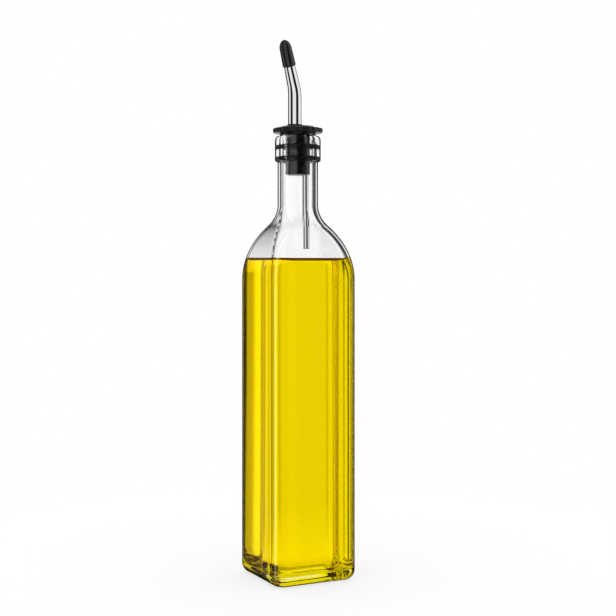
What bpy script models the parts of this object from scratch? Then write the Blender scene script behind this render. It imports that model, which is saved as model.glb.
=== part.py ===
"""Oil dispenser bottle: a tall square glass bottle of oil, with a pouring stopper in its neck.

Units are metres and +Z is up. The origin is the middle of the base, and the flat sides face along X and Y.
"""

import math

import bmesh
import bpy
from mathutils import Vector

# Space left between two pieces that touch
GAP = 0.0003

# Glass bottle: half widths and radii are of the outer surface
BODY_HALF = 0.029
BODY_CORNER = 0.0096
WALL = 0.003
HEEL_RADIUS = 0.0059
INNER_HEEL_RADIUS = 0.004
BASE_THICKNESS = 0.006
SHOULDER_START = 0.187
SHOULDER_END = 0.234
SHOULDER_BULGE = 0.0545
NECK_RADIUS = 0.0128
FINISH_RADIUS = 0.0145
FINISH_BOTTOM = 0.2613
FINISH_LOWER_EDGE = 0.0012
FINISH_UPPER_EDGE = 0.0028
MOUTH_HEIGHT = 0.2776
MOUTH_EDGE = 0.0008

# The underside stands on a flat ring round a shallow hollow, and the floor inside rises to match
STANDING_RING_WIDTH = 0.0035
HOLLOW_SLOPE_WIDTH = 0.0035
HOLLOW_DEPTH = 0.0016
HOLLOW_RIM_DEPTH = 0.0012
HOLLOW_MIDDLE_HALF = 0.007
HOLLOW_MIDDLE_CORNER = 0.0035

# Oil
OIL_LEVEL = 0.199

# Rubber stopper
PLUG_RADIUS = 0.0077
PLUG_BOTTOM = 0.253
PLUG_EDGE = 0.0004
RIB_HEIGHTS = (0.2632, 0.2704)
RIB_TIP_HALF = 0.0014
RIB_ROOT_HALF = 0.0021
SEAT_RADIUS = 0.0113
SEAT_BOTTOM = 0.2781
FLANGE_RADIUS = 0.0158
FLANGE_BOTTOM = 0.2794
FLANGE_TOP = 0.2824
FLANGE_BEVEL = 0.0006
FLUTE_DEPTH = 0.0003
CROWN_RADIUS = 0.0113
CROWN_TOP = 0.2836
CROWN_BEVEL = 0.0009
COLLAR_RADIUS = 0.0048
COLLAR_TOP = 0.2849

# The two tubes stand in one line across the stopper, turned this far from +X
TUBE_LINE_ANGLE = math.radians(-26.3)
SPOUT_OFFSET = -0.0019
BREATHER_OFFSET = 0.0048

# Steel spout
SPOUT_RADIUS = 0.00433
SPOUT_RIM_RADIUS = 0.0036
SPOUT_TIP_RADIUS = 0.0033
SPIGOT_RADIUS = 0.0034
SPIGOT_LENGTH = 0.0135
BEND_START = 0.3015
BEND_RADIUS = 0.020
LEAN = math.radians(26.5)
LEAN_DIRECTION = math.radians(-143.5)
CAPPED_LENGTH = 0.0095

# Rubber dust cap: its rim is this far up the leaning part of the spout
CAP_RIM_DISTANCE = 0.0119
CAP_RIM_RADIUS = 0.0042
CAP_SHOULDER_RADIUS = 0.0039
CAP_DOME_HEIGHT = 0.0062
CAP_LENGTH = 0.0168
CAP_RIM_EDGE = 0.0003
CAP_TOP_RADIUS = 0.0005

# Steel breather tube
BREATHER_RADIUS = 0.002
BREATHER_BORE = 0.0015
BREATHER_BOTTOM = 0.206
BREATHER_SOCKET_DEPTH = 0.006

# Fineness: points round a ring, and steps along a quarter or a bend
BOTTLE_SIDES = 48
STOPPER_SIDES = 48
TUBE_SIDES = 24
BREATHER_SIDES = 16
ARC_STEPS = 4
SHOULDER_STEPS = 7
BEND_STEPS = 8
SMOOTH_ANGLE = math.radians(35)


def ring(half, corner, z, sides, centre=(0.0, 0.0), flute=0.0):
    """Points of a level square with rounded corners, or of a circle where corner equals half.

    The points lie half a step off the axes, so that the flat sides stay flat and stay at half.
    """
    reach = corner / math.cos(math.pi / sides)
    flat = half - corner
    points = []
    for step in range(sides):
        angle = (step + 0.5) * 2 * math.pi / sides
        radius = reach - flute * (step % 2)
        x = centre[0] + math.copysign(flat, math.cos(angle)) + radius * math.cos(angle)
        y = centre[1] + math.copysign(flat, math.sin(angle)) + radius * math.sin(angle)
        points.append(Vector((x, y, z)))
    return points


def circle(radius, z, sides, centre=(0.0, 0.0), flute=0.0):
    """Points of a level circle."""
    return ring(radius, radius, z, sides, centre, flute)


def arc(centre_across, centre_z, radius, start, end, steps=ARC_STEPS):
    """Outline points (across, z) of an arc, by angles from the outward direction."""
    angles = [start + (end - start) * step / steps for step in range(steps + 1)]
    return [
        (centre_across + radius * math.cos(angle), centre_z + radius * math.sin(angle))
        for angle in angles
    ]


def loft(name, rings, material):
    """One closed piece skinned over rings of equal numbers of points, with a flat face on each end."""
    shape = bmesh.new()
    loops = [[shape.verts.new(point) for point in points] for points in rings]
    for near, far in zip(loops, loops[1:]):
        for index, vertex in enumerate(near):
            before = index - 1
            shape.faces.new((near[before], vertex, far[index], far[before]))
    shape.faces.new(loops[0])
    shape.faces.new(loops[-1])
    bmesh.ops.recalc_face_normals(shape, faces=shape.faces)
    mesh = bpy.data.meshes.new(name)
    shape.to_mesh(mesh)
    shape.free()
    mesh.shade_smooth()
    mesh.set_sharp_from_angle(angle=SMOOTH_ANGLE)
    mesh.materials.append(material)
    piece = bpy.data.objects.new(name, mesh)
    bpy.context.scene.collection.objects.link(piece)
    return piece


def make_material(name, colour, roughness, metallic=0.0, transmission=0.0, ior=1.5):
    """A Principled material."""
    material = bpy.data.materials.new(name)
    material.use_nodes = True
    shader = material.node_tree.nodes["Principled BSDF"]
    shader.inputs["Base Color"].default_value = (*colour, 1.0)
    shader.inputs["Roughness"].default_value = roughness
    shader.inputs["Metallic"].default_value = metallic
    shader.inputs["Transmission Weight"].default_value = transmission
    shader.inputs["IOR"].default_value = ior
    return material


def corner_at(half):
    """Outer corner radius where the bottle's outer half width is half, growing to a circle at the neck."""
    share = (BODY_HALF - half) / (BODY_HALF - NECK_RADIUS)
    return BODY_CORNER + (NECK_RADIUS - BODY_CORNER) * share


def shoulder_outline(inset, top=SHOULDER_END):
    """Outline of the shoulder from the body up to the neck, or up to a lower level.

    Two arcs meet on one slope: the upper body bulges out, and the foot of the neck curves in.
    """
    drop = BODY_HALF - NECK_RADIUS
    rise = SHOULDER_END - SHOULDER_START
    slope = 2 * math.atan2(drop, rise)
    bulge = SHOULDER_BULGE - inset
    cove = rise / math.sin(slope) - SHOULDER_BULGE + inset
    bulge_centre = BODY_HALF - SHOULDER_BULGE
    cove_centre = NECK_RADIUS - inset + cove
    turn = min(slope, math.asin((top - SHOULDER_START) / bulge))
    points = arc(bulge_centre, SHOULDER_START, bulge, 0, turn, SHOULDER_STEPS)
    if turn == slope:
        cove_arc = arc(cove_centre, SHOULDER_END, cove, math.pi + slope, math.pi, SHOULDER_STEPS)
        points += cove_arc[1:]
    return points


def square_rings(outline, inset):
    """Rings of the square body for outline points, inset from the bottle's outer surface."""
    rings = []
    for half, z in outline:
        outer_half = half + inset
        rings.append(ring(half, corner_at(outer_half) - inset, z, BOTTLE_SIDES))
    return rings


def floor_rings(edge_half, edge_corner, z):
    """Rings from the middle of a floor outwards, with its middle raised by the hollow's depth."""
    slope_half = edge_half - HOLLOW_SLOPE_WIDTH
    return [
        ring(HOLLOW_MIDDLE_HALF, HOLLOW_MIDDLE_CORNER, z + HOLLOW_DEPTH, BOTTLE_SIDES),
        ring(slope_half, edge_corner, z + HOLLOW_RIM_DEPTH, BOTTLE_SIDES),
        ring(edge_half, edge_corner, z, BOTTLE_SIDES),
    ]


def heel_rings(inset, radius, floor):
    """Rings of the rounded edge at the floor. The corner shrinks as the edge turns in."""
    half = BODY_HALF - inset
    corner = BODY_CORNER - inset
    outline = arc(half - radius, floor + radius, radius, -math.pi / 2, 0)
    return [ring(across, corner - (half - across), z, BOTTLE_SIDES) for across, z in outline]


def cavity_rings(inset, floor, top):
    """Rings of the space inside the bottle, from the middle of its floor up to a level."""
    radius = INNER_HEEL_RADIUS
    edge_half = BODY_HALF - inset - radius - STANDING_RING_WIDTH
    edge_corner = BODY_CORNER - inset - radius
    rings = floor_rings(edge_half, edge_corner, floor)
    rings += heel_rings(inset, radius, floor)
    rings += square_rings(shoulder_outline(inset, top), inset)
    return rings


def make_bottle(glass):
    """Glass bottle: its outer surface from the base up, then over the mouth and down inside."""
    edge_half = BODY_HALF - HEEL_RADIUS - STANDING_RING_WIDTH
    edge_corner = BODY_CORNER - HEEL_RADIUS
    outer = floor_rings(edge_half, edge_corner, 0.0)
    outer += heel_rings(0.0, HEEL_RADIUS, 0.0)
    outer += square_rings(shoulder_outline(0.0), 0.0)
    lower = FINISH_LOWER_EDGE
    upper = FINISH_UPPER_EDGE
    bore = NECK_RADIUS - WALL
    finish = [(NECK_RADIUS, FINISH_BOTTOM)]
    finish += arc(FINISH_RADIUS - lower, FINISH_BOTTOM + lower, lower, -math.pi / 2, 0)
    finish += arc(FINISH_RADIUS - upper, MOUTH_HEIGHT - upper, upper, 0, math.pi / 2)
    finish += arc(bore + MOUTH_EDGE, MOUTH_HEIGHT - MOUTH_EDGE, MOUTH_EDGE, math.pi / 2, math.pi)
    outer += [circle(radius, z, BOTTLE_SIDES) for radius, z in finish]
    inner = cavity_rings(WALL, BASE_THICKNESS, SHOULDER_END)
    return loft("glass_bottle", outer + inner[::-1], glass)


def make_oil(oil):
    """Oil up to the level shown, clear of the glass by the gap."""
    return loft("oil", cavity_rings(WALL + GAP, BASE_THICKNESS + GAP, OIL_LEVEL), oil)


def on_tube_line(offset):
    """Place across the stopper, on the line that both tubes stand on."""
    return (offset * math.cos(TUBE_LINE_ANGLE), offset * math.sin(TUBE_LINE_ANGLE))


def plug_outline():
    """Outline of the plug with its sealing ribs, from the bottom up to the seat."""
    rib_radius = NECK_RADIUS - WALL - GAP
    points = [(PLUG_RADIUS - PLUG_EDGE, PLUG_BOTTOM), (PLUG_RADIUS, PLUG_BOTTOM + PLUG_EDGE)]
    for height in RIB_HEIGHTS:
        points.append((PLUG_RADIUS, height - RIB_ROOT_HALF))
        points.append((rib_radius, height - RIB_TIP_HALF))
        points.append((rib_radius, height + RIB_TIP_HALF))
        points.append((PLUG_RADIUS, height + RIB_ROOT_HALF))
    points.append((PLUG_RADIUS, SEAT_BOTTOM))
    points.append((SEAT_RADIUS, SEAT_BOTTOM))
    points.append((SEAT_RADIUS, FLANGE_BOTTOM))
    return points


def make_stopper(rubber):
    """Rubber stopper: plug, seat, fluted flange, crown and collar, with a socket at each end."""
    sides = STOPPER_SIDES
    spout_place = on_tube_line(SPOUT_OFFSET)
    breather_place = on_tube_line(BREATHER_OFFSET)
    breather_socket = BREATHER_RADIUS + GAP
    spout_socket = SPIGOT_RADIUS + GAP
    socket_bottom = COLLAR_TOP - SPIGOT_LENGTH
    rings = [
        circle(breather_socket, PLUG_BOTTOM + BREATHER_SOCKET_DEPTH, sides, breather_place),
        circle(breather_socket, PLUG_BOTTOM, sides, breather_place),
    ]
    rings += [circle(radius, z, sides) for radius, z in plug_outline()]
    bevel = FLANGE_BEVEL
    rim = FLANGE_RADIUS
    rings += [
        circle(rim - bevel, FLANGE_BOTTOM, sides, flute=FLUTE_DEPTH),
        circle(rim, FLANGE_BOTTOM + bevel, sides, flute=FLUTE_DEPTH),
        circle(rim, FLANGE_TOP - bevel / 2, sides, flute=FLUTE_DEPTH),
        circle(rim - bevel, FLANGE_TOP, sides, flute=FLUTE_DEPTH),
        circle(CROWN_RADIUS, FLANGE_TOP + bevel / 2, sides),
        circle(CROWN_RADIUS, CROWN_TOP - CROWN_BEVEL, sides),
        circle(CROWN_RADIUS - CROWN_BEVEL, CROWN_TOP, sides),
        circle(COLLAR_RADIUS, CROWN_TOP, sides, spout_place),
        circle(COLLAR_RADIUS, COLLAR_TOP, sides, spout_place),
        circle(spout_socket, COLLAR_TOP, sides, spout_place),
        circle(spout_socket, socket_bottom - GAP, sides, spout_place),
    ]
    return loft("stopper", rings, rubber)


def lean_axis():
    """Direction of the leaning part of the spout."""
    across = math.sin(LEAN)
    return Vector(
        (across * math.cos(LEAN_DIRECTION), across * math.sin(LEAN_DIRECTION), math.cos(LEAN))
    )


def bend_point(angle):
    """Point on the spout's centre line where it has leaned over by an angle."""
    x, y = on_tube_line(SPOUT_OFFSET)
    across = BEND_RADIUS * (1 - math.cos(angle))
    return Vector(
        (
            x + across * math.cos(LEAN_DIRECTION),
            y + across * math.sin(LEAN_DIRECTION),
            BEND_START + BEND_RADIUS * math.sin(angle),
        )
    )


def tilted_circle(radius, centre, angle, sides=TUBE_SIDES):
    """Circle of the spout, tilted over by an angle in the lean's direction."""
    outward = Vector((math.cos(LEAN_DIRECTION), math.sin(LEAN_DIRECTION), 0.0))
    sideways = Vector((-outward.y, outward.x, 0.0))
    tilted = outward * math.cos(angle) - Vector((0.0, 0.0, math.sin(angle)))
    reach = radius / math.cos(math.pi / sides)
    points = []
    for step in range(sides):
        turn = (step + 0.5) * 2 * math.pi / sides
        points.append(centre + tilted * (reach * math.cos(turn)) + sideways * (reach * math.sin(turn)))
    return points


def make_spout(steel):
    """Steel spout: a spigot in the stopper's socket, an upright tube, then a tapering bend and tip."""
    x, y = on_tube_line(SPOUT_OFFSET)
    base = COLLAR_TOP + GAP
    upright = [
        (SPIGOT_RADIUS, COLLAR_TOP - SPIGOT_LENGTH),
        (SPIGOT_RADIUS, base),
        (SPOUT_RADIUS, base),
        (SPOUT_RADIUS, BEND_START),
    ]
    rings = [tilted_circle(radius, Vector((x, y, z)), 0.0) for radius, z in upright]
    bend_length = BEND_RADIUS * LEAN
    taper = (SPOUT_RADIUS - SPOUT_RIM_RADIUS) / (bend_length + CAP_RIM_DISTANCE)
    for step in range(1, BEND_STEPS + 1):
        angle = LEAN * step / BEND_STEPS
        radius = SPOUT_RADIUS - taper * BEND_RADIUS * angle
        rings.append(tilted_circle(radius, bend_point(angle), angle))
    rim = bend_point(LEAN) + lean_axis() * CAP_RIM_DISTANCE
    tip = rim + lean_axis() * CAPPED_LENGTH
    rings.append(tilted_circle(SPOUT_RIM_RADIUS, rim, LEAN))
    rings.append(tilted_circle(SPOUT_TIP_RADIUS, tip, LEAN))
    return loft("spout_tube", rings, steel)


def make_cap(rubber):
    """Rubber dust cap, modelled upright on its rim and then set on the end of the spout."""
    dome_start = CAP_LENGTH - CAP_DOME_HEIGHT
    outline = [
        (SPOUT_TIP_RADIUS + GAP, CAPPED_LENGTH + GAP),
        (SPOUT_RIM_RADIUS + GAP, 0.0),
        (CAP_RIM_RADIUS - CAP_RIM_EDGE, 0.0),
        (CAP_RIM_RADIUS, CAP_RIM_EDGE),
    ]
    dome_end = math.acos(CAP_TOP_RADIUS / CAP_SHOULDER_RADIUS)
    for step in range(BEND_STEPS + 1):
        angle = dome_end * step / BEND_STEPS
        across = CAP_SHOULDER_RADIUS * math.cos(angle)
        up = CAP_DOME_HEIGHT * math.sin(angle) / math.sin(dome_end)
        outline.append((across, dome_start + up))
    rings = [circle(radius, z, TUBE_SIDES) for radius, z in outline]
    cap = loft("dust_cap", rings, rubber)
    cap.location = bend_point(LEAN) + lean_axis() * CAP_RIM_DISTANCE
    cap.rotation_euler = lean_axis().to_track_quat("Z", "Y").to_euler()
    return cap


def make_breather(steel):
    """Steel breather tube: its upper end is in the plug's socket, and its lower end is open."""
    top = PLUG_BOTTOM + BREATHER_SOCKET_DEPTH - GAP
    wall_end = top - (BREATHER_RADIUS - BREATHER_BORE)
    outline = [
        (BREATHER_RADIUS, top),
        (BREATHER_RADIUS, BREATHER_BOTTOM),
        (BREATHER_BORE, BREATHER_BOTTOM),
        (BREATHER_BORE, wall_end),
    ]
    rings = [circle(radius, z, BREATHER_SIDES) for radius, z in outline]
    breather = loft("breather_tube", rings, steel)
    breather.location = (*on_tube_line(BREATHER_OFFSET), 0.0)
    return breather


def main():
    """Builds the whole dispenser, with its pieces parented to an empty at the base."""
    for old in list(bpy.data.objects):
        bpy.data.objects.remove(old)
    glass = make_material("clear_glass", (0.96, 0.97, 0.98), 0.0, transmission=1.0, ior=1.52)
    oil = make_material("yellow_oil", (0.85, 0.66, 0.01), 0.0, transmission=1.0, ior=1.47)
    rubber = make_material("black_rubber", (0.025, 0.025, 0.027), 0.45)
    steel = make_material("polished_steel", (0.78, 0.78, 0.79), 0.12, metallic=1.0)
    base = bpy.data.objects.new("oil_dispenser", None)
    bpy.context.scene.collection.objects.link(base)
    pieces = [
        make_bottle(glass),
        make_oil(oil),
        make_stopper(rubber),
        make_spout(steel),
        make_cap(rubber),
        make_breather(steel),
    ]
    for piece in pieces:
        piece.parent = base


main()
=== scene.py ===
"""Looks of the oil dispenser bottle: clear glass, yellow oil, black rubber stopper and steel spout.

Units are metres and +Z is up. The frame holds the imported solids, and every piece here is the finer
surface of one of them, built from the same sizes.
"""

import math

import bmesh
import bpy
from mathutils import Matrix, Vector

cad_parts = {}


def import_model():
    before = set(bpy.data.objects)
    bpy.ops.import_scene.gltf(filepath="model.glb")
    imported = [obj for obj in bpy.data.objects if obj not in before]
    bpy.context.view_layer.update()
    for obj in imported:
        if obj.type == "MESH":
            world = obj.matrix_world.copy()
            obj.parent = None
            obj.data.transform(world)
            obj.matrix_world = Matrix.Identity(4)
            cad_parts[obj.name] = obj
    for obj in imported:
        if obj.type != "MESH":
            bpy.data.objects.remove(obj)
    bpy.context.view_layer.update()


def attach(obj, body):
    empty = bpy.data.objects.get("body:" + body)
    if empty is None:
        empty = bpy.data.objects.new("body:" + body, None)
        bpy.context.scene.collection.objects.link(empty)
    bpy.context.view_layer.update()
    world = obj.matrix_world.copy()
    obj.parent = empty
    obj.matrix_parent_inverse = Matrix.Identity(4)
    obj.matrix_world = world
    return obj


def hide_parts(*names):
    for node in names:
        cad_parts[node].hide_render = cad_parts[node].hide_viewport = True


# Glass bottle: half widths and radii are of the outer surface
BODY_HALF = 0.029
BODY_CORNER = 0.0096
WALL = 0.003
HEEL_RADIUS = 0.0059
INNER_HEEL_RADIUS = 0.004
BASE_THICKNESS = 0.006
SHOULDER_START = 0.187
SHOULDER_END = 0.234
SHOULDER_BULGE = 0.0545
NECK_RADIUS = 0.0128
FINISH_RADIUS = 0.0145
FINISH_BOTTOM = 0.2613
FINISH_FILLET = 0.0007
FINISH_LOWER_EDGE = 0.0012
FINISH_UPPER_EDGE = 0.0028
MOUTH_HEIGHT = 0.2776
MOUTH_EDGE = 0.0008

# Moulded sides aren't quite flat: they sink this much in their middles
SIDE_SINK = 0.00012

# The underside stands on a flat ring round a shallow hollow, and the floor inside rises to match
STANDING_RING_WIDTH = 0.0035
HOLLOW_SLOPE_WIDTH = 0.0035
HOLLOW_DEPTH = 0.0016
HOLLOW_RIM_DEPTH = 0.0012
HOLLOW_MIDDLE_HALF = 0.007
HOLLOW_MIDDLE_CORNER = 0.0035

# Oil: it reaches a little into the glass, and climbs the wall at its surface
OIL_LEVEL = 0.1979
OIL_CONTACT_LEVEL = 0.2002
OIL_OVERLAP = 0.00012
MENISCUS_REACH = 0.0013
MENISCUS_WIDTH = 0.006

# Rubber stopper
PLUG_RADIUS = 0.0077
PLUG_BOTTOM = 0.253
PLUG_EDGE = 0.0004
RIB_HEIGHTS = (0.2632, 0.2704)
RIB_TIP_HALF = 0.0014
RIB_ROOT_HALF = 0.0021
RIB_OVERLAP = 0.0001
SEAT_RADIUS = 0.0113
SEAT_BOTTOM = 0.2781
FLANGE_RADIUS = 0.0158
FLANGE_BOTTOM = 0.2794
FLANGE_TOP = 0.2824
FLANGE_BEVEL = 0.0006
FLUTE_DEPTH = 0.0003
FLUTES = 24
CROWN_RADIUS = 0.0113
CROWN_TOP = 0.2836
CROWN_BEVEL = 0.0009
COLLAR_RADIUS = 0.0048
COLLAR_TOP = 0.2849
RUBBER_EDGE = 0.0002

# The two tubes stand in one line across the stopper, turned this far from +X
TUBE_LINE_ANGLE = math.radians(-26.3)
SPOUT_OFFSET = -0.0019
BREATHER_OFFSET = 0.0048

# Steel spout
SPOUT_RADIUS = 0.00433
SPOUT_RIM_RADIUS = 0.0036
SPOUT_TIP_RADIUS = 0.0033
SPOUT_FOOT_DEPTH = 0.001
BEND_START = 0.3015
BEND_RADIUS = 0.020
LEAN = math.radians(26.5)
LEAN_DIRECTION = math.radians(-143.5)
CAPPED_LENGTH = 0.0095

# Rubber dust cap: its rim is this far up the leaning part of the spout
CAP_RIM_DISTANCE = 0.0119
CAP_RIM_RADIUS = 0.0042
CAP_SHOULDER_RADIUS = 0.0039
CAP_DOME_HEIGHT = 0.0062
CAP_LENGTH = 0.0168
CAP_RIM_EDGE = 0.0003
CAP_TOP_RADIUS = 0.0005

# Steel breather tube
BREATHER_RADIUS = 0.002
BREATHER_BORE = 0.0015
BREATHER_BOTTOM = 0.206
BREATHER_SOCKET_DEPTH = 0.003

# Fineness of the surfaces
CORNER_STEPS = 28
FLAT_SUPPORT = 0.0003
FLAT_STEPS = 12
ARC_STEPS = 10
SHOULDER_STEPS = 36
FLOOR_STEPS = 8
MENISCUS_STEPS = 14
ROUND_SIDES = 128
FLANGE_SIDES = 288
TUBE_SIDES = 72
BEND_STEPS = 28
MERGE_DISTANCE = 1e-6
ROUNDING_STEPS = 4

# Rounding takes up at most one part in this many of an edge
EDGE_PARTS = 2.2

# Edges that turn more than this stay sharp
SHARP_TURN = math.radians(50)
BREATHER_SHARP_TURN = math.radians(40)

# Camera, where the photograph was taken from: level, just above the oil, to the left of the front
IMAGE_SIZE = 616
CAMERA_AZIMUTH = math.radians(-26.3)
CAMERA_DISTANCE = 0.790
CAMERA_HEIGHT = 0.1995
FOCAL_PIXELS = 1248
AXIS_PIXEL_X = 297.8
HORIZON_PIXEL_Y = 259.5
SENSOR_WIDTH = 36.0
NEAREST_SEEN = 0.01

# Floor: a disc that is as white as the studio, but for the bottle's shadow
FLOOR_RADIUS = 0.30
FLOOR_SIDES = 128
FLOOR_DROP = 0.0002
FLOOR_GLOW = 0.72

# Painted shade on the glass edges: how far a face turns away before the painted shade starts, and
# where it is black
PAINTED_EDGE_SHADE_START = 0.6
PAINTED_EDGE_SHADE_END = 0.68

# Heights between which the painted yellow light of the thick base fades out
PAINTED_BASE_LIGHT_BOTTOM = 0.005
PAINTED_BASE_LIGHT_TOP = 0.009

# Times that light may bend or mirror in the glass
LIGHT_BOUNCES = 32

# Two shades that a material varies between, or goes from and to
GLASS_SHADES = ((0.985, 0.987, 0.995), (0.995, 0.996, 1.0))
# Painted shade for the glass edges, from none to nearly black
GLASS_PAINTED_EDGE_SHADES = ((1.0, 1.0, 1.0), (0.01, 0.01, 0.01))
# Painted yellow light in the glass base, fading to clear
GLASS_PAINTED_BASE_LIGHT_SHADES = ((0.88, 0.78, 0.0), (1.0, 1.0, 1.0))
OIL_SHADES = ((0.98, 0.944, 0.02), (0.99, 0.956, 0.025))
STOPPER_SHADES = ((0.004, 0.004, 0.0045), (0.008, 0.008, 0.009))
CAP_SHADES = ((0.003, 0.003, 0.0035), (0.006, 0.006, 0.007))
STEEL_SHADES = ((0.7708, 0.7708, 0.7802), (0.82, 0.82, 0.83))
FLOOR_SHADES = ((0.28, 0.28, 0.28), (0.3, 0.3, 0.3))

# Oil deepens with thickness: what it leaves of light, and how fast
OIL_DEEP_COLOUR = (0.985, 0.942, 0.0, 1.0)
OIL_DENSITY = 100.0

# How strongly the glass and the oil bend light
GLASS_IOR = 1.52
OIL_IOR = 1.47

# Sheen of the rubber and the steel, as the least and most roughness and as strength
STOPPER_ROUGHNESS = (0.25, 0.36)
STOPPER_SHINE = 0.25
CAP_ROUGHNESS = (0.19, 0.3)
CAP_SHINE = 0.5
STEEL_ROUGHNESS = (0.042, 0.078)

# Noise scales, in cycles a metre, and how much the noise is drawn out upwards
GLASS_STREAK_SCALE = 60.0
GLASS_STRETCH = (1.0, 1.0, 0.12)
OIL_CLOUD_SCALE = 25.0
RUBBER_PATCH_SCALE = 180.0
RUBBER_GRAIN_SCALE = 2600.0
STEEL_LINE_SCALE = 900.0
STEEL_STRETCH = (1.0, 1.0, 0.04)
FLOOR_MOTTLE_SCALE = 6.0

# Range that most of the noise keeps to
NOISE_LOW = 0.3
NOISE_HIGH = 0.7

# Depths of the relief
GLASS_RIPPLE_DEPTH = 0.000012
STOPPER_GRAIN_DEPTH = 0.000004
CAP_GRAIN_DEPTH = 0.000003
STEEL_LINE_DEPTH = 0.000002

# Studio panels: brightness by the angle from the photographer round to the right, in degrees.
# The empty glass looks out at the upper panels, and the oil at the lower ones.
UPPER_PANELS = (
    (-180, 1.08),
    (-152, 1.05),
    (-150, 0.02),
    (-131, 0.02),
    (-128, 0.9),
    (-108, 0.9),
    (-104, 0.1),
    (-60, 0.1),
    (-50, 1.0),
    (-10, 1.0),
    (0, 0.02),
    (55, 0.02),
    (62, 0.9),
    (118, 0.9),
    (122, 0.02),
    (152, 0.02),
    (156, 1.08),
    (180, 1.08),
)
LOWER_PANELS = (
    (-180, 1.0),
    (-170, 1.0),
    (-166, 0.72),
    (-162, 1.0),
    (-146, 1.1),
    (-144, 0.02),
    (-133.5, 0.02),
    (-132.9, 1.15),
    (-130.6, 1.15),
    (-129.8, 0.02),
    (-125.7, 0.02),
    (-125, 1.25),
    (-104, 1.25),
    (-100, 0.5),
    (-50, 0.5),
    (-44, 1.2),
    (-15, 1.2),
    (-10, 0.02),
    (45, 0.02),
    (46, 0.75),
    (51, 0.75),
    (54, 1.8),
    (60, 1.6),
    (66, 0.02),
    (129, 0.02),
    (131.5, 0.7),
    (143, 0.75),
    (146, 1.25),
    (153, 1.25),
    (157, 0.65),
    (164, 1.0),
    (180, 1.0),
)

# Close to the floor, the lit panels are brighter at the sides and a little brighter behind
LIT = 0.3
BACK_START = 150
SIDE_FLOOR_GLOW = 1.3
BACK_FLOOR_GLOW = 1.12

# Panels that mirror in the steel and the rubber
GLOSS_PANELS = (
    (-180, 1.0),
    (-160, 1.0),
    (-152, 0.05),
    (-112, 0.05),
    (-106, 1.0),
    (-78, 1.0),
    (-73, 0.01),
    (-37, 0.01),
    (-32, 1.0),
    (19, 1.0),
    (24, 0.01),
    (62, 0.01),
    (67, 1.0),
    (122, 1.0),
    (127, 0.01),
    (150, 0.01),
    (156, 0.9),
    (180, 1.0),
)

# Panels that mirror in the glass, which is the only perfectly smooth piece that mirrors
GLASS_GLOSS_PANELS = (
    (-180, 0.01),
    (-136, 0.01),
    (-134.5, 0.25),
    (-132, 0.25),
    (-130, 0.01),
    (-71, 0.01),
    (-68, 3.0),
    (-56, 3.0),
    (-53, 0.01),
    (180, 0.01),
)

# Heights of directions, negative below the horizon, between which one ring of panels gives way
# to the next
HORIZON_FADE = (-0.02, 0.0)
FLOOR_FADE = (-0.16, -0.19)
STEEP_FADE = (-0.7, -0.8)

# Steeply down it is dark for light that a surface has turned back, and white for the rest
STEEP_BENT_GLOW = 0.02
STEEP_STRAIGHT_GLOW = 1.0

# What the camera sees past the bottle, and what lights plain surfaces
STUDIO_GLOW = 1.0

# Light that goes straight through meets no dark panel between these angles
FRONT_SIDES = (-103, 130)
FRONT_GLOW = 0.95


def arc(centre_across, centre_z, radius, start, end, steps=ARC_STEPS):
    """Outline points (across, z) of an arc, by angles from the outward direction."""
    angles = [start + (end - start) * step / steps for step in range(steps + 1)]
    return [
        (centre_across + radius * math.cos(angle), centre_z + radius * math.sin(angle))
        for angle in angles
    ]


def square_ring(half, corner, z, sunk=False):
    """Points of a level square with rounded corners, or of a circle where corner equals half.

    Each side has a point close to either end, so that the corner's shading stops there. The sides
    of a sunk one are drawn in a little towards their middles.
    """
    flat = half - corner
    inner_flat = flat - min(FLAT_SUPPORT, flat)
    sink = SIDE_SINK * (flat / (BODY_HALF - BODY_CORNER)) ** 2 if sunk else 0.0
    points = []
    for quarter in range(4):
        turn = quarter * math.pi / 2
        middle = turn + math.pi / 4
        centre = Vector((math.cos(middle), math.sin(middle), 0.0)) * (flat * math.sqrt(2))
        for step in range(CORNER_STEPS + 1):
            angle = turn + step * math.pi / 2 / CORNER_STEPS
            outward = Vector((math.cos(angle), math.sin(angle), 0.0))
            points.append(centre + outward * corner + Vector((0.0, 0.0, z)))
        side = turn + math.pi / 2
        outward = Vector((math.cos(side), math.sin(side), 0.0))
        along = Vector((-outward.y, outward.x, 0.0))
        for step in range(FLAT_STEPS + 1):
            share = 2 * step / FLAT_STEPS - 1
            reach = half - sink * math.cos(share * math.pi / 2)
            points.append(outward * reach + along * (inner_flat * share) + Vector((0.0, 0.0, z)))
    return points


def circle(radius, z, sides=ROUND_SIDES, centre=(0.0, 0.0), flute=0.0):
    """Points of a level circle. A fluted one is drawn in by the flute's depth between its crests."""
    points = []
    for step in range(sides):
        angle = step * 2 * math.pi / sides
        reach = radius - flute * (0.5 - 0.5 * math.cos(FLUTES * angle))
        points.append(
            Vector((centre[0] + reach * math.cos(angle), centre[1] + reach * math.sin(angle), z))
        )
    return points


def loft(name, rings, material, sharp_angle=None):
    """One closed piece skinned over rings of equal numbers of points, with a face on each end."""
    shape = bmesh.new()
    loops = [[shape.verts.new(point) for point in points] for points in rings]
    for near, far in zip(loops, loops[1:]):
        for index, vertex in enumerate(near):
            before = index - 1
            shape.faces.new((near[before], vertex, far[index], far[before]))
    shape.faces.new(loops[0])
    shape.faces.new(loops[-1])
    bmesh.ops.remove_doubles(shape, verts=shape.verts, dist=MERGE_DISTANCE)
    bmesh.ops.recalc_face_normals(shape, faces=shape.faces)
    mesh = bpy.data.meshes.new(name)
    shape.to_mesh(mesh)
    shape.free()
    mesh.shade_smooth()
    if sharp_angle is not None:
        mesh.set_sharp_from_angle(angle=sharp_angle)
    mesh.materials.append(material)
    piece = bpy.data.objects.new(name, mesh)
    bpy.context.scene.collection.objects.link(piece)
    return piece


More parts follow.
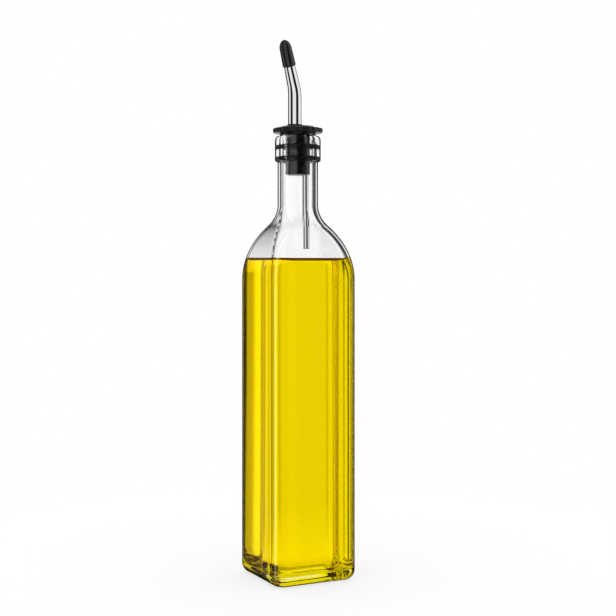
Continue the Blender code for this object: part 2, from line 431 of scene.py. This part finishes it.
def corner_at(half):
    """Outer corner radius for an outer half width. It grows to a full circle at the neck."""
    share = (BODY_HALF - half) / (BODY_HALF - NECK_RADIUS)
    return BODY_CORNER + (NECK_RADIUS - BODY_CORNER) * share


def shoulder_outline(inset, top=SHOULDER_END):
    """Outline of the shoulder from the body up to the neck, or up to a lower level.

    Two arcs meet on one slope: the upper body bulges out, and the foot of the neck curves in.
    """
    drop = BODY_HALF - NECK_RADIUS
    rise = SHOULDER_END - SHOULDER_START
    slope = 2 * math.atan2(drop, rise)
    bulge = SHOULDER_BULGE - inset
    cove = rise / math.sin(slope) - SHOULDER_BULGE + inset
    bulge_centre = BODY_HALF - SHOULDER_BULGE
    cove_centre = NECK_RADIUS - inset + cove
    turn = min(slope, math.asin((top - SHOULDER_START) / bulge))
    points = arc(bulge_centre, SHOULDER_START, bulge, 0, turn, SHOULDER_STEPS)
    if turn == slope:
        cove_arc = arc(cove_centre, SHOULDER_END, cove, math.pi + slope, math.pi, SHOULDER_STEPS)
        points += cove_arc[1:]
    return points


def square_rings(outline, inset):
    """Rings of the square body for outline points, inset from the bottle's outer surface."""
    rings = []
    for half, z in outline:
        corner = min(corner_at(half + inset) - inset, half)
        rings.append(square_ring(half, corner, z, sunk=inset == 0))
    return rings


def smooth_step(share):
    """Share from 0 to 1 that starts and ends level."""
    return share * share * (3 - 2 * share)


def floor_rings(edge_half, edge_corner, z):
    """Rings from the middle of a floor outwards. Its middle is raised by the hollow's depth."""
    slope_half = edge_half - HOLLOW_SLOPE_WIDTH
    rings = []
    for step in range(FLOOR_STEPS):
        share = step / FLOOR_STEPS
        half = HOLLOW_MIDDLE_HALF + (slope_half - HOLLOW_MIDDLE_HALF) * share
        corner = HOLLOW_MIDDLE_CORNER + (edge_corner - HOLLOW_MIDDLE_CORNER) * share
        sink = (HOLLOW_DEPTH - HOLLOW_RIM_DEPTH) * share * share
        rings.append(square_ring(half, corner, z + HOLLOW_DEPTH - sink))
    for step in range(FLOOR_STEPS + 1):
        share = step / FLOOR_STEPS
        half = slope_half + HOLLOW_SLOPE_WIDTH * share
        rings.append(square_ring(half, edge_corner, z + HOLLOW_RIM_DEPTH * (1 - smooth_step(share))))
    return rings


def heel_rings(inset, radius, floor):
    """Rings of the rounded edge at the floor. The corner shrinks as the edge turns in."""
    half = BODY_HALF - inset
    corner = BODY_CORNER - inset
    outline = arc(half - radius, floor + radius, radius, -math.pi / 2, 0)
    rings = []
    for across, z in outline:
        rings.append(square_ring(across, corner - (half - across), z, sunk=inset == 0))
    return rings


def cavity_rings(inset, floor, top):
    """Rings of the space inside the bottle, from the middle of its floor up to a level."""
    radius = INNER_HEEL_RADIUS
    edge_half = BODY_HALF - inset - radius - STANDING_RING_WIDTH
    edge_corner = BODY_CORNER - inset - radius
    rings = floor_rings(edge_half, edge_corner, floor)
    rings += heel_rings(inset, radius, floor)
    rings += square_rings(shoulder_outline(inset, top), inset)
    return rings


def make_glass(material, wetted_material):
    """Glass bottle: its outer surface from the base up, then over the mouth and down inside."""
    edge_half = BODY_HALF - HEEL_RADIUS - STANDING_RING_WIDTH
    edge_corner = BODY_CORNER - HEEL_RADIUS
    outer = floor_rings(edge_half, edge_corner, 0.0)
    outer += heel_rings(0.0, HEEL_RADIUS, 0.0)
    outer += square_rings(shoulder_outline(0.0), 0.0)
    fillet = FINISH_FILLET
    lower = FINISH_LOWER_EDGE
    upper = FINISH_UPPER_EDGE
    bore = NECK_RADIUS - WALL
    finish = arc(NECK_RADIUS + fillet, FINISH_BOTTOM - fillet, fillet, math.pi, math.pi / 2)
    finish += arc(FINISH_RADIUS - lower, FINISH_BOTTOM + lower, lower, -math.pi / 2, 0)
    finish += arc(FINISH_RADIUS - upper, MOUTH_HEIGHT - upper, upper, 0, math.pi / 2)
    finish += arc(bore + MOUTH_EDGE, MOUTH_HEIGHT - MOUTH_EDGE, MOUTH_EDGE, math.pi / 2, math.pi)
    outer += [square_ring(radius, radius, z) for radius, z in finish]
    inner = cavity_rings(WALL, BASE_THICKNESS, SHOULDER_END)
    glass = loft("clear_glass_body", outer + inner[::-1], material)
    glass.data.materials.append(wetted_material)
    middle = Vector((0.0, 0.0, OIL_LEVEL / 2))
    for face in glass.data.polygons:
        faces_in = face.normal.dot(face.center - middle) < 0
        if faces_in and face.center.z < OIL_CONTACT_LEVEL:
            face.material_index = 1
    return glass


def make_oil(material):
    """Oil: it fills the glass from just inside the wall, and its surface climbs where it meets it."""
    inset = WALL - OIL_OVERLAP
    rise = OIL_CONTACT_LEVEL - OIL_LEVEL
    rings = cavity_rings(inset, BASE_THICKNESS - OIL_OVERLAP, OIL_CONTACT_LEVEL)
    contact_half = shoulder_outline(inset, OIL_CONTACT_LEVEL)[-1][0]
    for step in range(1, MENISCUS_STEPS + 1):
        away = MENISCUS_WIDTH * (step / MENISCUS_STEPS) ** 2
        half = contact_half - away
        corner = corner_at(contact_half + inset) - inset
        height = rise * math.exp(-away / MENISCUS_REACH)
        rings.append(square_ring(half, min(corner, half), OIL_LEVEL + height))
    return loft("golden_oil", rings, material)


def on_tube_line(offset):
    """Place across the stopper, on the line that both tubes stand on."""
    return (offset * math.cos(TUBE_LINE_ANGLE), offset * math.sin(TUBE_LINE_ANGLE))


def rounded(outline, radius):
    """Outline with each corner cut to a small arc, so that edges catch the light."""
    points = [outline[0]]
    for before, here, after in zip(outline, outline[1:], outline[2:]):
        corner = Vector(here)
        back = Vector(before) - corner
        forward = Vector(after) - corner
        reach = min(radius, back.length / EDGE_PARTS, forward.length / EDGE_PARTS)
        start = corner + back.normalized() * reach
        end = corner + forward.normalized() * reach
        for step in range(ROUNDING_STEPS + 1):
            share = step / ROUNDING_STEPS
            point = start * (1 - share) ** 2 + corner * (2 * share * (1 - share)) + end * share**2
            points.append((point.x, point.y))
    points.append(outline[-1])
    return points


def plug_outline():
    """Outline of the plug, with its ribs pressed on the glass, up to the underside of the flange."""
    rib_radius = NECK_RADIUS - WALL + RIB_OVERLAP
    points = [(PLUG_RADIUS - PLUG_EDGE, PLUG_BOTTOM), (PLUG_RADIUS, PLUG_BOTTOM + PLUG_EDGE)]
    for height in RIB_HEIGHTS:
        points.append((PLUG_RADIUS, height - RIB_ROOT_HALF))
        points.append((rib_radius, height - RIB_TIP_HALF))
        points.append((rib_radius, height + RIB_TIP_HALF))
        points.append((PLUG_RADIUS, height + RIB_ROOT_HALF))
    points.append((PLUG_RADIUS, SEAT_BOTTOM))
    points.append((SEAT_RADIUS, SEAT_BOTTOM))
    points.append((SEAT_RADIUS, FLANGE_BOTTOM))
    return points


def make_stopper(material):
    """Rubber stopper: plug, seat, fluted flange, crown and collar, with a socket at each end."""
    sides = FLANGE_SIDES
    spout_place = on_tube_line(SPOUT_OFFSET)
    breather_place = on_tube_line(BREATHER_OFFSET)
    rings = [
        circle(BREATHER_RADIUS, PLUG_BOTTOM + BREATHER_SOCKET_DEPTH, sides, breather_place),
        circle(BREATHER_RADIUS, PLUG_BOTTOM, sides, breather_place),
    ]
    rings += [circle(radius, z, sides) for radius, z in rounded(plug_outline(), RUBBER_EDGE)]
    rim = FLANGE_RADIUS
    inner_rim = rim - FLANGE_BEVEL
    half_bevel = FLANGE_BEVEL / 2
    flange = [
        (SEAT_RADIUS, FLANGE_BOTTOM),
        (inner_rim, FLANGE_BOTTOM),
        (rim, FLANGE_BOTTOM + FLANGE_BEVEL),
        (rim, FLANGE_TOP - half_bevel),
        (inner_rim, FLANGE_TOP),
        (CROWN_RADIUS + RUBBER_EDGE, FLANGE_TOP + half_bevel),
    ]
    for radius, z in rounded(flange, RUBBER_EDGE)[1:]:
        flute = FLUTE_DEPTH if radius > CROWN_RADIUS + 2 * RUBBER_EDGE else 0.0
        rings.append(circle(radius, z, sides, flute=flute))
    crown = [
        (CROWN_RADIUS, FLANGE_TOP + half_bevel),
        (CROWN_RADIUS, CROWN_TOP - CROWN_BEVEL),
        (CROWN_RADIUS - CROWN_BEVEL, CROWN_TOP),
        (COLLAR_RADIUS + CROWN_BEVEL, CROWN_TOP),
    ]
    rings += [circle(radius, z, sides) for radius, z in rounded(crown, RUBBER_EDGE)]
    collar = [
        (COLLAR_RADIUS + RUBBER_EDGE, CROWN_TOP),
        (COLLAR_RADIUS, CROWN_TOP + RUBBER_EDGE),
        (COLLAR_RADIUS, COLLAR_TOP),
        (SPOUT_RADIUS, COLLAR_TOP),
        (SPOUT_RADIUS, COLLAR_TOP - SPOUT_FOOT_DEPTH),
    ]
    rings += [circle(radius, z, sides, spout_place) for radius, z in rounded(collar, RUBBER_EDGE)]
    return loft("rubber_stopper", rings, material, SHARP_TURN)


def lean_axis():
    """Direction of the leaning part of the spout."""
    across = math.sin(LEAN)
    return Vector(
        (across * math.cos(LEAN_DIRECTION), across * math.sin(LEAN_DIRECTION), math.cos(LEAN))
    )


def bend_point(angle):
    """Point on the spout's centre line where it has leaned over by an angle."""
    x, y = on_tube_line(SPOUT_OFFSET)
    across = BEND_RADIUS * (1 - math.cos(angle))
    return Vector(
        (
            x + across * math.cos(LEAN_DIRECTION),
            y + across * math.sin(LEAN_DIRECTION),
            BEND_START + BEND_RADIUS * math.sin(angle),
        )
    )


def tilted_circle(radius, centre, angle, sides=TUBE_SIDES):
    """Circle of the spout, tilted over by an angle in the lean's direction."""
    outward = Vector((math.cos(LEAN_DIRECTION), math.sin(LEAN_DIRECTION), 0.0))
    sideways = Vector((-outward.y, outward.x, 0.0))
    tilted = outward * math.cos(angle) - Vector((0.0, 0.0, math.sin(angle)))
    points = []
    for step in range(sides):
        turn = step * 2 * math.pi / sides
        across = tilted * (radius * math.cos(turn))
        points.append(centre + across + sideways * (radius * math.sin(turn)))
    return points


def make_spout(material):
    """Steel spout: an upright tube, then a bend that tapers to the tip under the cap."""
    x, y = on_tube_line(SPOUT_OFFSET)
    foot = COLLAR_TOP - SPOUT_FOOT_DEPTH
    rings = [
        tilted_circle(SPOUT_RADIUS, Vector((x, y, foot)), 0.0),
        tilted_circle(SPOUT_RADIUS, Vector((x, y, BEND_START)), 0.0),
    ]
    bend_length = BEND_RADIUS * LEAN
    taper = (SPOUT_RADIUS - SPOUT_RIM_RADIUS) / (bend_length + CAP_RIM_DISTANCE)
    for step in range(1, BEND_STEPS + 1):
        angle = LEAN * step / BEND_STEPS
        radius = SPOUT_RADIUS - taper * BEND_RADIUS * angle
        rings.append(tilted_circle(radius, bend_point(angle), angle))
    rim = bend_point(LEAN) + lean_axis() * CAP_RIM_DISTANCE
    tip = rim + lean_axis() * CAPPED_LENGTH
    rings.append(tilted_circle(SPOUT_RIM_RADIUS, rim, LEAN))
    rings.append(tilted_circle(SPOUT_TIP_RADIUS, tip, LEAN))
    return loft("steel_spout", rings, material, SHARP_TURN)


def make_cap(material):
    """Rubber dust cap, modelled upright on its rim and then set on the end of the spout."""
    dome_start = CAP_LENGTH - CAP_DOME_HEIGHT
    outline = [
        (SPOUT_TIP_RADIUS, CAPPED_LENGTH),
        (SPOUT_RIM_RADIUS, 0.0),
        (CAP_RIM_RADIUS - CAP_RIM_EDGE, 0.0),
        (CAP_RIM_RADIUS, CAP_RIM_EDGE),
        (CAP_SHOULDER_RADIUS, dome_start),
    ]
    outline = rounded(outline, RUBBER_EDGE)
    dome_end = math.acos(CAP_TOP_RADIUS / CAP_SHOULDER_RADIUS)
    for step in range(1, BEND_STEPS + 1):
        angle = dome_end * step / BEND_STEPS
        across = CAP_SHOULDER_RADIUS * math.cos(angle)
        up = CAP_DOME_HEIGHT * math.sin(angle) / math.sin(dome_end)
        outline.append((across, dome_start + up))
    cap = loft("rubber_cap", [circle(radius, z, TUBE_SIDES) for radius, z in outline], material)
    turned = lean_axis().to_track_quat("Z", "Y").to_matrix().to_4x4()
    rim = bend_point(LEAN) + lean_axis() * CAP_RIM_DISTANCE
    cap.data.transform(Matrix.Translation(rim) @ turned)
    return cap


def make_breather(material):
    """Steel breather tube, from inside the plug down to its open lower end."""
    top = PLUG_BOTTOM + BREATHER_SOCKET_DEPTH
    edge = (BREATHER_RADIUS - BREATHER_BORE) / 3
    outline = [
        (BREATHER_RADIUS, top),
        (BREATHER_RADIUS, BREATHER_BOTTOM + edge),
        (BREATHER_RADIUS - edge, BREATHER_BOTTOM),
        (BREATHER_BORE + edge, BREATHER_BOTTOM),
        (BREATHER_BORE, BREATHER_BOTTOM + edge),
        (BREATHER_BORE, top - BREATHER_BORE),
    ]
    rings = [circle(radius, z, TUBE_SIDES) for radius, z in outline]
    breather = loft("steel_breather", rings, material, BREATHER_SHARP_TURN)
    breather.location = (*on_tube_line(BREATHER_OFFSET), 0.0)
    return breather


def new_material(name):
    """Empty node material: its tree, its Principled shader and its output."""
    material = bpy.data.materials.new(name)
    material.use_nodes = True
    tree = material.node_tree
    return material, tree, tree.nodes["Principled BSDF"], tree.nodes["Material Output"]


def add_noise(tree, scale, detail=2.0, stretch=(1.0, 1.0, 1.0)):
    """Noise on the object's own metres. A stretch under 1 draws it out along that axis."""
    place = tree.nodes.new("ShaderNodeTexCoord")
    mapping = tree.nodes.new("ShaderNodeMapping")
    mapping.inputs["Scale"].default_value = stretch
    noise = tree.nodes.new("ShaderNodeTexNoise")
    noise.inputs["Scale"].default_value = scale
    noise.inputs["Detail"].default_value = detail
    tree.links.new(place.outputs["Object"], mapping.inputs["Vector"])
    tree.links.new(mapping.outputs["Vector"], noise.inputs["Vector"])
    return noise.outputs["Fac"]


def add_range(tree, value, low, high):
    """Noise brought into a range."""
    node = tree.nodes.new("ShaderNodeMapRange")
    node.inputs["From Min"].default_value = NOISE_LOW
    node.inputs["From Max"].default_value = NOISE_HIGH
    node.inputs["To Min"].default_value = low
    node.inputs["To Max"].default_value = high
    tree.links.new(value, node.inputs["Value"])
    return node.outputs["Result"]


def add_colours(tree, value, low, high):
    """Colour between two, by a value."""
    ramp = tree.nodes.new("ShaderNodeValToRGB")
    ramp.color_ramp.elements[0].color = (*low, 1.0)
    ramp.color_ramp.elements[1].color = (*high, 1.0)
    tree.links.new(value, ramp.inputs["Fac"])
    return ramp.outputs["Color"]


def add_product(tree, first, second):
    """Product of two colours."""
    mix = tree.nodes.new("ShaderNodeMix")
    mix.data_type = "RGBA"
    mix.blend_type = "MULTIPLY"
    mix.inputs["Factor"].default_value = 1.0
    tree.links.new(first, mix.inputs["A"])
    tree.links.new(second, mix.inputs["B"])
    return mix.outputs["Result"]


def add_share(tree, value, start, end):
    """Share from 0 to 1 as a value goes from start to end."""
    node = tree.nodes.new("ShaderNodeMapRange")
    node.inputs["From Min"].default_value = start
    node.inputs["From Max"].default_value = end
    tree.links.new(value, node.inputs["Value"])
    return node.outputs["Result"]


def add_bump(tree, shader, height, depth):
    """Relief of a depth in metres."""
    bump = tree.nodes.new("ShaderNodeBump")
    bump.inputs["Distance"].default_value = depth
    tree.links.new(height, bump.inputs["Height"])
    tree.links.new(bump.outputs["Normal"], shader.inputs["Normal"])


def glass_material(name, wetted=False):
    """Clear moulded glass, drawn out a little up the bottle. Where oil wets it, it doesn't mirror.

    Painted shade darkens its edges, and painted light from the oil above turns its base yellow.
    """
    material, tree, shader, _ = new_material(name)
    if wetted:
        shader.inputs["Specular Tint"].default_value = (0.0, 0.0, 0.0, 1.0)
    shader.inputs["Roughness"].default_value = 0.0
    shader.inputs["IOR"].default_value = GLASS_IOR
    shader.inputs["Transmission Weight"].default_value = 1.0
    streaks = add_noise(tree, GLASS_STREAK_SCALE, stretch=GLASS_STRETCH)
    clear = add_colours(tree, streaks, *GLASS_SHADES)
    if not wetted:
        # Painted shade darkens the glass where its faces turn away at the edges
        facing = tree.nodes.new("ShaderNodeLayerWeight").outputs["Facing"]
        edge = add_share(tree, facing, PAINTED_EDGE_SHADE_START, PAINTED_EDGE_SHADE_END)
        clear = add_product(tree, clear, add_colours(tree, edge, *GLASS_PAINTED_EDGE_SHADES))
        # Painted yellow light in the base, standing in for the light that comes down through the oil
        place = tree.nodes.new("ShaderNodeTexCoord")
        split = tree.nodes.new("ShaderNodeSeparateXYZ")
        tree.links.new(place.outputs["Object"], split.inputs["Vector"])
        height = add_share(tree, split.outputs["Z"], PAINTED_BASE_LIGHT_BOTTOM, PAINTED_BASE_LIGHT_TOP)
        clear = add_product(tree, clear, add_colours(tree, height, *GLASS_PAINTED_BASE_LIGHT_SHADES))
    tree.links.new(clear, shader.inputs["Base Color"])
    add_bump(tree, shader, streaks, GLASS_RIPPLE_DEPTH)
    return material


def oil_material():
    """Clear yellow oil. It takes out the blue, and deepens where it is thick."""
    material, tree, shader, output = new_material("clear_yellow_oil")
    shader.inputs["Specular Tint"].default_value = (0.0, 0.0, 0.0, 1.0)
    shader.inputs["Roughness"].default_value = 0.0
    shader.inputs["IOR"].default_value = OIL_IOR
    shader.inputs["Transmission Weight"].default_value = 1.0
    cloud = add_noise(tree, OIL_CLOUD_SCALE)
    tint = add_colours(tree, cloud, *OIL_SHADES)
    tree.links.new(tint, shader.inputs["Base Color"])
    volume = tree.nodes.new("ShaderNodeVolumeAbsorption")
    volume.inputs["Color"].default_value = OIL_DEEP_COLOUR
    volume.inputs["Density"].default_value = OIL_DENSITY
    tree.links.new(volume.outputs["Volume"], output.inputs["Volume"])
    return material


def rubber_material(name, shades, roughness, shine, grain_depth):
    """Black moulded rubber with a fine grain and a slightly uneven sheen."""
    material, tree, shader, _ = new_material(name)
    shader.inputs["Specular IOR Level"].default_value = shine
    patches = add_noise(tree, RUBBER_PATCH_SCALE, detail=3.0)
    tree.links.new(add_colours(tree, patches, *shades), shader.inputs["Base Color"])
    sheen = add_range(tree, patches, *roughness)
    tree.links.new(sheen, shader.inputs["Roughness"])
    add_bump(tree, shader, add_noise(tree, RUBBER_GRAIN_SCALE, detail=4.0), grain_depth)
    return material


def steel_material(name, shades, roughness):
    """Polished stainless steel with faint drawing lines along the tube."""
    material, tree, shader, _ = new_material(name)
    shader.inputs["Metallic"].default_value = 1.0
    lines = add_noise(tree, STEEL_LINE_SCALE, detail=3.0, stretch=STEEL_STRETCH)
    tree.links.new(add_colours(tree, lines, *shades), shader.inputs["Base Color"])
    polish = add_range(tree, lines, *roughness)
    tree.links.new(polish, shader.inputs["Roughness"])
    add_bump(tree, shader, lines, STEEL_LINE_DEPTH)
    return material


def floor_material():
    """Plain white floor."""
    material, tree, shader, _ = new_material("white_floor")
    shader.inputs["Roughness"].default_value = 0.9
    shader.inputs["Specular IOR Level"].default_value = 0.0
    shader.inputs["Emission Color"].default_value = (1.0, 1.0, 1.0, 1.0)
    shader.inputs["Emission Strength"].default_value = FLOOR_GLOW
    mottle = add_noise(tree, FLOOR_MOTTLE_SCALE)
    tree.links.new(add_colours(tree, mottle, *FLOOR_SHADES), shader.inputs["Base Color"])
    return material


def make_floor():
    """Round floor just under the bottle, which neither the glass nor the steel shows."""
    shape = bmesh.new()
    rim = circle(FLOOR_RADIUS, -FLOOR_DROP, FLOOR_SIDES)
    shape.faces.new([shape.verts.new(point) for point in rim])
    mesh = bpy.data.meshes.new("floor")
    shape.to_mesh(mesh)
    shape.free()
    mesh.materials.append(floor_material())
    floor = bpy.data.objects.new("floor", mesh)
    bpy.context.scene.collection.objects.link(floor)
    floor.visible_glossy = False
    floor.visible_transmission = False


def make_camera():
    """Camera at the photograph's place, level, with the frame shifted as the photograph's is."""
    data = bpy.data.cameras.new("camera")
    data.sensor_width = SENSOR_WIDTH
    data.lens = FOCAL_PIXELS / IMAGE_SIZE * SENSOR_WIDTH
    data.shift_x = (IMAGE_SIZE / 2 - AXIS_PIXEL_X) / IMAGE_SIZE
    data.shift_y = (HORIZON_PIXEL_Y - IMAGE_SIZE / 2) / IMAGE_SIZE
    data.clip_start = NEAREST_SEEN
    camera = bpy.data.objects.new("camera", data)
    bpy.context.scene.collection.objects.link(camera)
    back = Vector((math.sin(CAMERA_AZIMUTH), -math.cos(CAMERA_AZIMUTH), 0.0))
    camera.location = back * CAMERA_DISTANCE + Vector((0.0, 0.0, CAMERA_HEIGHT))
    camera.rotation_euler = (math.pi / 2, 0.0, CAMERA_AZIMUTH)
    bpy.context.scene.camera = camera


def add_bands(tree, angle, stops):
    """Grey bands round the horizon from (degrees, brightness) stops."""
    node = tree.nodes.new("ShaderNodeValToRGB")
    elements = node.color_ramp.elements
    for degrees, value in stops[1:-1]:
        elements.new(0.5 + degrees / 360).color = (value, value, value, 1.0)
    for element, (_, value) in ((elements[0], stops[0]), (elements[-1], stops[-1])):
        element.color = (value, value, value, 1.0)
    tree.links.new(angle, node.inputs["Fac"])
    return node.outputs["Color"]


def add_grey(tree, value):
    """One grey in every direction."""
    node = tree.nodes.new("ShaderNodeRGB")
    node.outputs["Color"].default_value = (value, value, value, 1.0)
    return node.outputs["Color"]


def add_mix(tree, factor, first, second):
    """Mix of two colours: the first where the factor is 0, and the second where it is 1."""
    mix = tree.nodes.new("ShaderNodeMix")
    mix.data_type = "RGBA"
    tree.links.new(first, mix.inputs["A"])
    tree.links.new(second, mix.inputs["B"])
    tree.links.new(factor, mix.inputs["Factor"])
    return mix.outputs["Result"]


def front_lit(stops):
    """The same bands, with no dark one between the two front sides."""
    start, end = FRONT_SIDES
    return [
        (degrees, FRONT_GLOW if start < degrees < end else value)
        for degrees, value in stops
    ]


def add_ring(tree, angle, height, upper, lower):
    """Bands above and below the horizon, with brighter ones near the floor."""
    near_floor = []
    for degrees, value in lower:
        brightness = SIDE_FLOOR_GLOW if abs(degrees) < BACK_START else BACK_FLOOR_GLOW
        near_floor.append((degrees, max(value, brightness) if value > LIT else value))
    below = add_mix(
        tree,
        add_share(tree, height, *FLOOR_FADE),
        add_bands(tree, angle, lower),
        add_bands(tree, angle, near_floor),
    )
    above = add_share(tree, height, *HORIZON_FADE)
    return add_mix(tree, above, below, add_bands(tree, angle, upper))


def make_world():
    """White studio. What shows in the glass and in the gloss is a ring of pale and dark panels.

    Light that a surface turned back on its way through the glass meets more dark panels than light
    that went straight through.
    """
    world = bpy.data.worlds.new("studio")
    bpy.context.scene.world = world
    world.use_nodes = True
    tree = world.node_tree
    background = tree.nodes["Background"]
    place = tree.nodes.new("ShaderNodeTexCoord")
    turn = tree.nodes.new("ShaderNodeMapping")
    turn.inputs["Rotation"].default_value = (0.0, 0.0, math.pi / 2 - CAMERA_AZIMUTH)
    radial = tree.nodes.new("ShaderNodeTexGradient")
    radial.gradient_type = "RADIAL"
    tree.links.new(place.outputs["Generated"], turn.inputs["Vector"])
    tree.links.new(turn.outputs["Vector"], radial.inputs["Vector"])
    split = tree.nodes.new("ShaderNodeSeparateXYZ")
    tree.links.new(place.outputs["Generated"], split.inputs["Vector"])
    height = split.outputs["Z"]
    angle = radial.outputs["Fac"]
    steep = add_share(tree, height, *STEEP_FADE)
    bent = add_mix(
        tree,
        steep,
        add_ring(tree, angle, height, UPPER_PANELS, LOWER_PANELS),
        add_grey(tree, STEEP_BENT_GLOW),
    )
    straight = add_mix(
        tree,
        steep,
        add_ring(tree, angle, height, front_lit(UPPER_PANELS), front_lit(LOWER_PANELS)),
        add_grey(tree, STEEP_STRAIGHT_GLOW),
    )
    path = tree.nodes.new("ShaderNodeLightPath")
    gloss_panels = add_mix(
        tree,
        path.outputs["Is Singular Ray"],
        add_bands(tree, angle, GLOSS_PANELS),
        add_bands(tree, angle, GLASS_GLOSS_PANELS),
    )
    panels = add_mix(tree, path.outputs["Glossy Depth"], straight, bent)
    studio = add_grey(tree, STUDIO_GLOW)
    gloss = add_mix(tree, path.outputs["Is Glossy Ray"], studio, gloss_panels)
    colour = add_mix(tree, path.outputs["Is Transmission Ray"], gloss, panels)
    tree.links.new(colour, background.inputs["Color"])


def dress(piece, node):
    """Puts a piece in the frame in place of its solid."""
    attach(piece, "root")
    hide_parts(node)


def main():
    """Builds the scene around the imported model."""
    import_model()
    make_camera()
    steel = steel_material("polished_steel", STEEL_SHADES, STEEL_ROUGHNESS)
    rubber = rubber_material(
        "stopper_black_rubber", STOPPER_SHADES, STOPPER_ROUGHNESS, STOPPER_SHINE, STOPPER_GRAIN_DEPTH
    )
    cap_rubber = rubber_material(
        "cap_black_rubber", CAP_SHADES, CAP_ROUGHNESS, CAP_SHINE, CAP_GRAIN_DEPTH
    )
    clear = glass_material("clear_moulded_glass")
    wetted = glass_material("oil_wetted_glass", wetted=True)
    dress(make_glass(clear, wetted), "glass_bottle")
    dress(make_oil(oil_material()), "oil")
    dress(make_stopper(rubber), "stopper")
    dress(make_spout(steel), "spout_tube")
    dress(make_cap(cap_rubber), "dust_cap")
    dress(make_breather(steel), "breather_tube")
    make_floor()
    make_world()
    scene = bpy.context.scene
    scene.view_settings.view_transform = "Standard"
    scene.cycles.max_bounces = LIGHT_BOUNCES
    scene.cycles.transmission_bounces = LIGHT_BOUNCES
    scene.cycles.glossy_bounces = LIGHT_BOUNCES


main()
